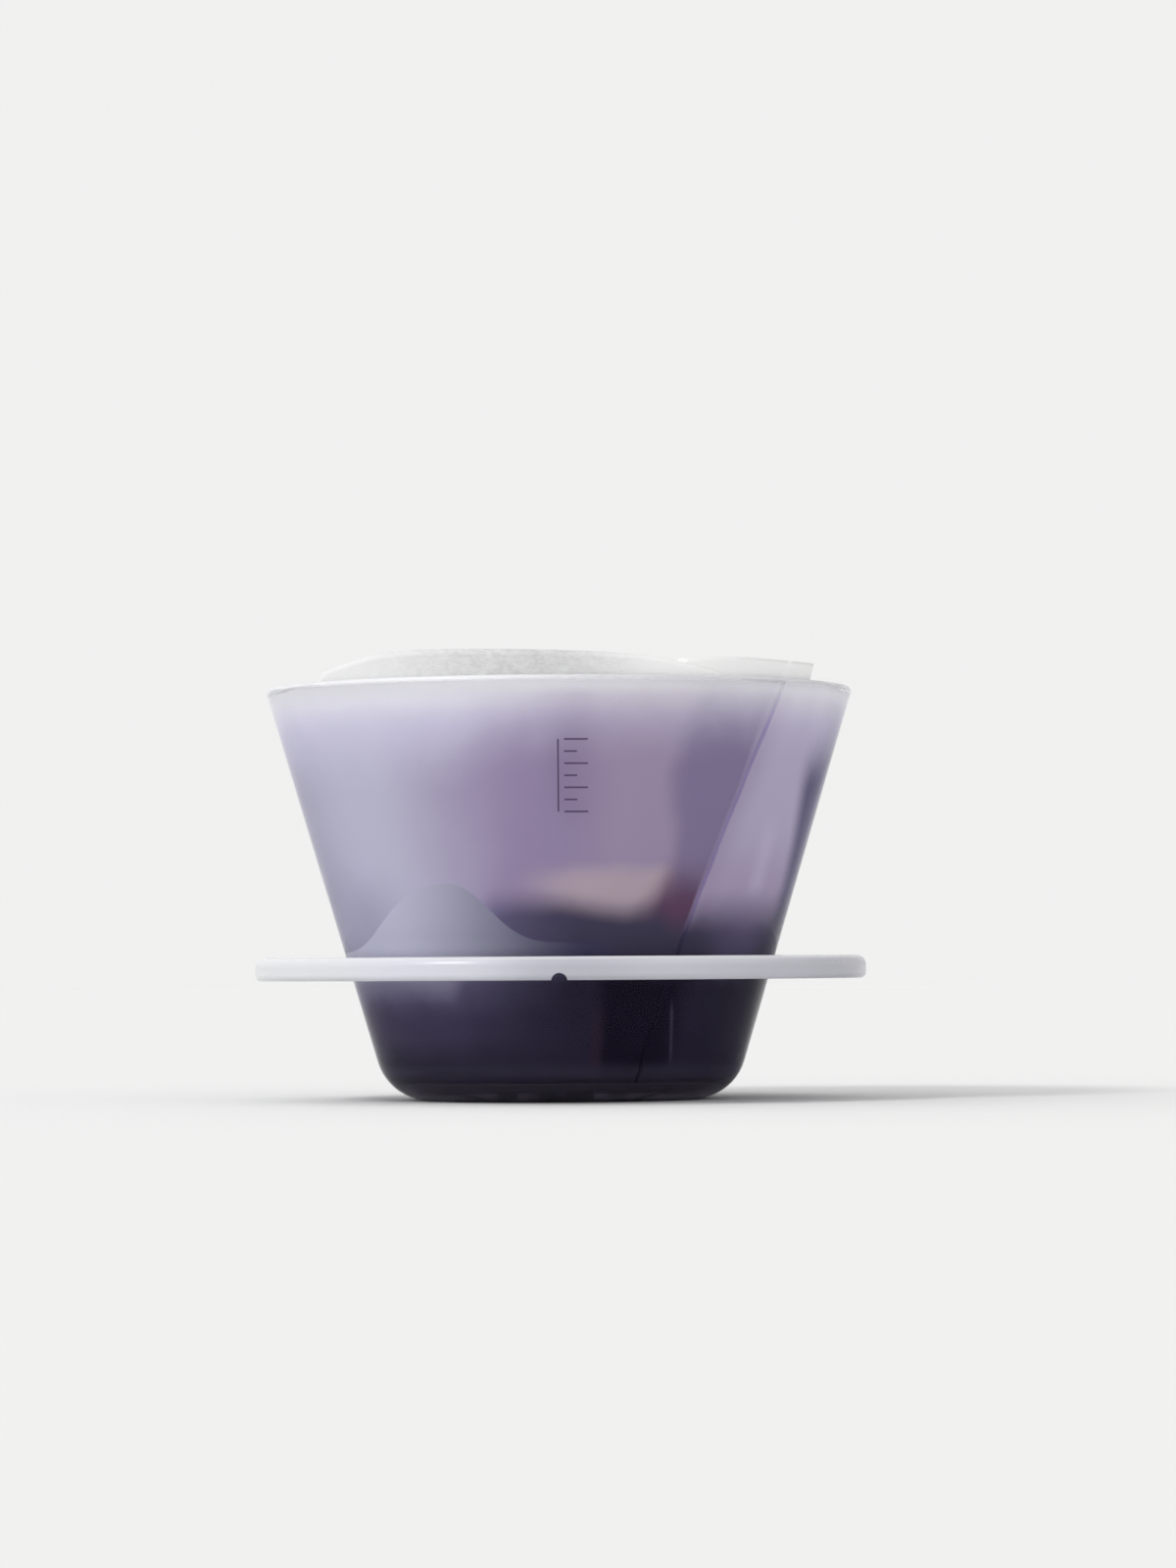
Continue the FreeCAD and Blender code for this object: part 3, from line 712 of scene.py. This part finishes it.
# The sheet's upper edge: angle, and height over the rim in millimetres
EDGE_KEYS = [
    (24.0, 3.0), (33.0, 3.5), (40.0, 3.6), (50.0, 3.3), (FLAP_END, 3.1), (FLAP_END + FLAP_CUT, -0.3),
    (64.0, -0.5), (75.0, -0.8), (100.0, -0.9), (150.0, -0.4), (200.0, -1.0), (250.0, -0.5),
    (290.0, -0.8), (303.0, -0.4), (306.5, 1.7), (314.0, 3.1), (323.0, 4.55), (333.0, 5.0),
    (346.0, 4.8), (358.0, 4.5), (367.0, 4.2), (376.0, 3.65), (382.4, 2.85), (386.0, 2.1),
    (391.5, 1.2), (396.5, 0.0), (400.0, -0.6), (412.0, -0.8),
]
EDGE_ANGLES, EDGE_HEIGHTS = zip(*EDGE_KEYS)

# Mesh of the sheet. Its rows follow the turn, then the wall up to the shoulder, and then spread
# up to the edge. These columns stand at the sheet's start, at both angles of the step, at both
# angles of the flap's cut, at the back and at the sheet's end.
TURN_ROWS = 8
SHOULDER_ROW = 62
SHEET_ROWS = 70
SHOULDER_Z = 75.0 * MM
KEY_COLUMNS = (0, 12, 17, 42, 43, 150, 420)
SHEET_COLUMNS = KEY_COLUMNS[-1]


def sheet_end(height):
    """Angle at which the sheet's outer end is cut, slanting from the foot up to the rim."""
    return FULL_TURN + SHEET_FOOT_ANGLE + SHEET_LEAN * height / MM


def edge_height(angle):
    return RIM_TOP + np.interp(angle, EDGE_ANGLES, EDGE_HEIGHTS) * MM


def flap_lean(angle):
    return FLAP_LEAN * np.interp(abs(angle - FLAP_END), FLAP_LEAN_REACH, (1.0, 0.0))


def sheet_inset(angle, height):
    """The sheet's inner end lies under its outer end, and comes out to the wall beside it."""
    beside = angle - (sheet_end(height) - FULL_TURN)
    return INNER_INSET + (OUTER_INSET - INNER_INSET) * smooth_step(*STEP_ANGLES, beside)


def sheet_point(angle, height, inset):
    return (*around(wall_radius(height, inset), math.radians(angle)), height)


def turned_point(angle, share, inset):
    """A point on the turn from the floor to the wall, at a share of the way up."""
    bend = TURN_START + (TURN_END - TURN_START) * share
    reach = CORNER_RADIUS - inset
    radius = TURN_CENTRE_RADIUS + reach * math.sin(bend)
    return (*around(radius, math.radians(angle)), CORNER_RADIUS - reach * math.cos(bend))


def sheet_angle(column, level):
    """Angle of a column: the first ones lie along the slanting end above them."""
    slant = sheet_end(level) - FULL_TURN
    angles = (SHEET_START, slant + STEP_ANGLES[0], slant + STEP_ANGLES[1],
              FLAP_END, FLAP_END + FLAP_CUT, FULL_TURN / 2, sheet_end(level))
    return float(np.interp(column, KEY_COLUMNS, angles))


def sheet_vertex(column, row, skin):
    """A vertex of the sheet. Its skin is the distance within the sheet's outer face."""
    if row < TURN_ROWS:
        angle = sheet_angle(column, TURN_TOP_Z)
        return turned_point(angle, row / TURN_ROWS, sheet_inset(angle, TURN_TOP_Z) + skin)
    if row <= SHOULDER_ROW:
        up = (row - TURN_ROWS) / (SHOULDER_ROW - TURN_ROWS)
        height = TURN_TOP_Z + up * (SHOULDER_Z - TURN_TOP_Z)
        angle = sheet_angle(column, height)
        return sheet_point(angle, height, sheet_inset(angle, height) + skin)
    up = (row - SHOULDER_ROW) / (SHEET_ROWS - SHOULDER_ROW)
    level = SHOULDER_Z + up * (RIM_TOP - SHOULDER_Z)
    angle = sheet_angle(column, level)
    height = SHOULDER_Z + up * (edge_height(angle) - SHOULDER_Z)
    lean = flap_lean(angle) * smooth_step(*FLAP_LEAN_RISE, up)
    return sheet_point(angle + lean, height, sheet_inset(angle, level) + skin)


def rolled_sheet():
    """The sheet as two skins joined along their borders, wet outside and stained inside."""
    vertices = [sheet_vertex(column, row, skin) for skin in (0.0, PAPER_THICK)
                for row in range(SHEET_ROWS + 1) for column in range(SHEET_COLUMNS + 1)]
    width = SHEET_COLUMNS + 1
    side = width * (SHEET_ROWS + 1)
    outside, inside = 0, 1
    faces = []
    kinds = []
    for row in range(SHEET_ROWS):
        for column in range(SHEET_COLUMNS):
            a = row * width + column
            faces.append((a, a + 1, a + 1 + width, a + width))
            kinds.append(outside)
            faces.append((a + side, a + width + side, a + 1 + width + side, a + 1 + side))
            kinds.append(inside)
    walls = len(faces)
    for column in range(SHEET_COLUMNS):
        low = column
        high = SHEET_ROWS * width + column
        faces.append((low, low + side, low + 1 + side, low + 1))
        faces.append((high + 1, high + 1 + side, high + side, high))
        kinds += [inside, inside]
    for row in range(SHEET_ROWS):
        start = row * width
        end = row * width + SHEET_COLUMNS
        faces.append((start + width, start + width + side, start + side, start))
        faces.append((end, end + side, end + width + side, end + width))
        kinds += [outside, outside]
    sheet = add_mesh("paper_sheet", vertices, faces)
    dress(sheet, paper_outside(), paper_inside())
    sheet.data.polygons.foreach_set("material_index", kinds)
    sheet.data.polygons.foreach_set("use_smooth", [True] * walls + [False] * (len(faces) - walls))
    return sheet


# The foot of the filter overlaps the sheet's turn a little
PAPER_FLOOR_OVERLAP = 0.3 * MM
PAPER_FLOOR_COLUMNS = 120
PAPER_FLOOR_RINGS = 8


def paper_floor():
    """The flat foot of the filter, lying on the cone's floor ribs."""
    reach = TURN_CENTRE_RADIUS + (CORNER_RADIUS - OUTER_INSET) * math.sin(TURN_START)
    reach += PAPER_FLOOR_OVERLAP
    vertices = []
    for height in (PAPER_FLOOR_Z, PAPER_FLOOR_Z + PAPER_THICK):
        vertices.append((0.0, 0.0, height))
        for ring in range(1, PAPER_FLOOR_RINGS + 1):
            for column in range(PAPER_FLOOR_COLUMNS):
                turn = 2 * math.pi * column / PAPER_FLOOR_COLUMNS
                vertices.append((*around(reach * ring / PAPER_FLOOR_RINGS, turn), height))
    side = 1 + PAPER_FLOOR_RINGS * PAPER_FLOOR_COLUMNS
    rim = side - PAPER_FLOOR_COLUMNS
    faces = ring_faces(1, PAPER_FLOOR_RINGS - 1, PAPER_FLOOR_COLUMNS)
    faces += ring_faces(1 + side, PAPER_FLOOR_RINGS - 1, PAPER_FLOOR_COLUMNS, flip=True)
    for column in range(PAPER_FLOOR_COLUMNS):
        after = (column + 1) % PAPER_FLOOR_COLUMNS
        faces.append((0, 1 + after, 1 + column))
        faces.append((side, side + 1 + column, side + 1 + after))
        faces.append((rim + column, rim + after, rim + after + side, rim + column + side))
    foot = add_mesh("paper_floor", vertices, faces)
    dress(foot, paper_outside())
    return foot


# Bed of wet grounds, strewn with grains. Its top is a shallow hollow, part of a ball, that runs
# from its low side on the left up to its high side on the right. The ball is the solid's own, so
# the solid's inset places it.
BED_INSET = WALL + 0.6 * MM
SOLID_BED_INSET = WALL + 1.25 * MM
BED_LOW = 20.0 * MM
BED_HIGH = 34.5 * MM
BED_MIDDLE = 28.0 * MM
BED_BALL_RADIUS = 130.0 * MM
BED_COLUMNS = 300
BED_RINGS = 95
BED_TURN_ROWS = 6

# Grains: how far apart, how far off their grid in shares of that, their sizes in millimetres, and
# how deep they sink. Low lumps under them make the bed uneven.
GRAIN_SPACING = 1.05 * MM
GRAIN_JITTER = 0.45
GRAIN_RADII = (0.45, 0.85)
GRAIN_HEIGHTS = (0.12, 0.42)
GRAIN_SINK = 0.15 * MM
GRAIN_SEED = 5
LUMP_SCALE = 140
LUMP_HEIGHT = 0.45 * MM


def bed_ball_centre():
    """Centre of the ball whose lowest part runs through the bed's low and high sides."""
    low = Vector((-wall_radius(BED_LOW, SOLID_BED_INSET), 0.0, BED_LOW))
    high = Vector((wall_radius(BED_HIGH, SOLID_BED_INSET), 0.0, BED_HIGH))
    chord = high - low
    lift = math.sqrt(BED_BALL_RADIUS ** 2 - (chord.length / 2) ** 2)
    return (low + high) / 2 + Vector((-chord.z, 0.0, chord.x)).normalized() * lift


def hollow_height(centre, x, y):
    across = (x - centre.x) ** 2 + y ** 2
    return centre.z - math.sqrt(BED_BALL_RADIUS ** 2 - across)


def bed_edge(centre, turn):
    """Radius at which the hollow meets the paper, found in rounds from a middle height."""
    reach = wall_radius(BED_MIDDLE, BED_INSET)
    for _ in range(3):
        reach = wall_radius(hollow_height(centre, *around(reach, turn)), BED_INSET)
    return reach


def strewn_grains(reach):
    """A search tree of grain centres on a jittered grid, with each grain's radius and height."""
    random = np.random.default_rng(GRAIN_SEED)
    steps = np.arange(-reach, reach, GRAIN_SPACING)
    places = np.array([(x, y) for x in steps for y in steps if x * x + y * y < reach * reach])
    places += random.uniform(-GRAIN_JITTER, GRAIN_JITTER, places.shape) * GRAIN_SPACING
    radii = random.uniform(*GRAIN_RADII, len(places)) * MM
    heights = random.uniform(*GRAIN_HEIGHTS, len(places)) * MM
    tree = kdtree.KDTree(len(places))
    for number, (x, y) in enumerate(places):
        tree.insert((x, y, 0.0), number)
    tree.balance()
    return tree, radii, heights


def grain_height(grains, x, y):
    """Height of the highest grain over a place, and nothing between grains."""
    tree, radii, heights = grains
    highest = 0.0
    for _, number, distance in tree.find_range((x, y, 0.0), GRAIN_RADII[1] * MM):
        share = distance / radii[number]
        if share < 1.0:
            highest = max(highest, heights[number] * math.sqrt(1.0 - share * share))
    return highest


def grounds_bed():
    centre = bed_ball_centre()
    grains = strewn_grains(wall_radius(BED_HIGH, BED_INSET))
    turns = [2 * math.pi * column / BED_COLUMNS for column in range(BED_COLUMNS)]
    edges = [bed_edge(centre, turn) for turn in turns]
    vertices = []
    for ring in range(BED_RINGS + 1):
        for turn, edge in zip(turns, edges):
            x, y = around(edge * ring / BED_RINGS, turn)
            lump = noise.noise(Vector((x, y, 0.0)) * LUMP_SCALE) * LUMP_HEIGHT
            height = hollow_height(centre, x, y) + lump + grain_height(grains, x, y) - GRAIN_SINK
            vertices.append((x, y, height))
    for row in range(BED_TURN_ROWS + 1):
        for turn in turns:
            vertices.append(turned_point(math.degrees(turn), 1 - row / BED_TURN_ROWS, BED_INSET))
    faces = ring_faces(0, BED_RINGS + BED_TURN_ROWS + 1, BED_COLUMNS, flip=True)
    faces.append(tuple(range(len(vertices) - BED_COLUMNS, len(vertices)))[::-1])
    bed = add_mesh("grounds_bed", vertices, faces)
    dress(bed, wet_grounds())
    return bed


# A plain level gauge printed on the front: ticks beside a thin upright line
INK_OUT = 0.05 * MM
INK_IN = 0.04 * MM
INK_PITCH = 0.8 * MM
INK = (0.07, 0.045, 0.11)
STROKE = 0.34 * MM
GAUGE_LOW = 54.0 * MM
GAUGE_HIGH = 67.2 * MM
GAUGE_STEPS = 6
TICK_START = 1.1 * MM
TICK_REACHES = (4.4 * MM, 2.4 * MM)


def printed_stroke(left, right, low, high):
    """Outline of a thin closed patch on the cone's wall, as vertices and faces."""
    columns = max(1, round((right - left) / INK_PITCH))
    vertices = []
    for inset in (-INK_OUT, INK_IN):
        for height in (low, high):
            radius = wall_radius(height, inset)
            for column in range(columns + 1):
                turn = (left + (right - left) * column / columns) / radius
                vertices.append((*around(radius, turn), height))
    width = columns + 1
    faces = []
    for a in range(columns):
        faces.append((a, a + 1, a + 1 + width, a + width))
        faces.append((a + 2 * width, a + 3 * width, a + 1 + 3 * width, a + 1 + 2 * width))
        faces.append((a, a + 2 * width, a + 1 + 2 * width, a + 1))
        faces.append((a + width, a + 1 + width, a + 1 + 3 * width, a + 3 * width))
    faces.append((0, width, 3 * width, 2 * width))
    faces.append((columns + 2 * width, columns + 3 * width, columns + width, columns))
    return vertices, faces


def level_gauge():
    strokes = [(-STROKE / 2, STROKE / 2, GAUGE_LOW, GAUGE_HIGH)]
    for step in range(GAUGE_STEPS + 1):
        height = GAUGE_LOW + (GAUGE_HIGH - GAUGE_LOW) * step / GAUGE_STEPS
        reach = TICK_REACHES[step % 2]
        strokes.append((TICK_START, TICK_START + reach, height - STROKE / 2, height + STROKE / 2))
    vertices = []
    faces = []
    for stroke in strokes:
        points, patches = printed_stroke(*stroke)
        faces += [tuple(corner + len(vertices) for corner in patch) for patch in patches]
        vertices += points
    gauge = add_mesh("level_gauge", vertices, faces, smooth=False)
    shader = Shader("violet_ink")
    shader.finish(Base_Color=INK, Roughness=0.5)
    dress(gauge, shader)
    return gauge


# Dress the frame and build the pieces
dress(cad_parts["cone"], cone_plastic())
dress(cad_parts["ring"], ring_plastic())

for piece in (rolled_sheet(), paper_floor()):
    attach(piece, "filter")
    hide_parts("paper_filter")
bed = grounds_bed()
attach(bed, "filter")
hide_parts("coffee_grounds")
gauge = level_gauge()
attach(gauge, "cone")


# Studio: pale floor and backdrop, a sky that is brighter on the left, and two soft lamps, each with
# its name, its strength, its spread in degrees and its direction
STUDIO_REACH = 6.0
STUDIO_FLOOR = (0.732, 0.732, 0.728)
BACKDROP = (0.875, 0.875, 0.87)
SKY_LIGHT = (1.55, 0.35)
LAMPS = [
    ("key_lamp", 1.0, 14, (0.55, 0.45, -0.7)),
    ("fill_lamp", 0.2, 60, (-0.7, 0.5, -0.5)),
]


def studio_floor():
    corners = [(-STUDIO_REACH, -STUDIO_REACH, 0), (STUDIO_REACH, -STUDIO_REACH, 0),
               (STUDIO_REACH, STUDIO_REACH, 0), (-STUDIO_REACH, STUDIO_REACH, 0)]
    floor = add_mesh("studio_floor", corners, [(0, 1, 2, 3)])
    shader = Shader("floor_paper")
    shader.finish(Base_Color=STUDIO_FLOOR, Roughness=0.9, Specular_IOR_Level=0.0)
    dress(floor, shader)


def studio_sky():
    """Only diffuse rays see the sky's light: the camera and glossy rays see the even backdrop."""
    world = bpy.data.worlds.new("studio")
    bpy.context.scene.world = world
    world.use_nodes = True
    nodes = Nodes(world.node_tree)
    direction = nodes.node("ShaderNodeTexCoord").outputs["Generated"]
    apart = nodes.node("ShaderNodeSeparateXYZ")
    nodes.feed(apart.inputs[0], direction)
    light = nodes.change(apart.outputs["X"], (-1.0, 1.0), SKY_LIGHT)
    diffuse = nodes.node("ShaderNodeLightPath").outputs["Is Diffuse Ray"]
    background = nodes.tree.nodes["Background"]
    nodes.feed(background.inputs["Color"], nodes.mix(diffuse, BACKDROP, light))


def studio_lamps():
    for name, strength, spread, direction in LAMPS:
        lamp = bpy.data.lights.new(name, "SUN")
        lamp.energy = strength
        lamp.angle = math.radians(spread)
        holder = bpy.data.objects.new(name, lamp)
        holder.rotation_euler = Vector(direction).to_track_quat("-Z", "Y").to_euler()
        bpy.context.scene.collection.objects.link(holder)


# Camera at the photograph's place: level with the ring, a little to the right of the axis
PICTURE_WIDTH = 1200
PICTURE_HEIGHT = 1600
FOCAL_PIXELS = 5800
HORIZON_ROW = 985
PIXELS_PER_MM = 5.3
AXIS_COLUMN = 571
BASE_ROW = 1121.2
ROLL = math.radians(0.36)


def photo_camera():
    distance = FOCAL_PIXELS / PIXELS_PER_MM * MM
    aside = (PICTURE_WIDTH / 2 - AXIS_COLUMN) / PIXELS_PER_MM * MM
    height = (BASE_ROW - HORIZON_ROW) / PIXELS_PER_MM * MM
    pitch = math.atan((HORIZON_ROW - PICTURE_HEIGHT / 2) / FOCAL_PIXELS)
    data = bpy.data.cameras.new("photo_camera")
    data.sensor_fit = "VERTICAL"
    data.sensor_height = 36.0
    data.lens = FOCAL_PIXELS / PICTURE_HEIGHT * data.sensor_height
    camera = bpy.data.objects.new("photo_camera", data)
    bpy.context.scene.collection.objects.link(camera)
    tilt = Matrix.Rotation(math.pi / 2 + pitch, 4, "X") @ Matrix.Rotation(-ROLL, 4, "Z")
    camera.matrix_world = Matrix.Translation((aside, -distance, height)) @ tilt
    bpy.context.scene.camera = camera


studio_floor()
studio_sky()
studio_lamps()
photo_camera()
bpy.context.scene.view_settings.view_transform = "Standard"
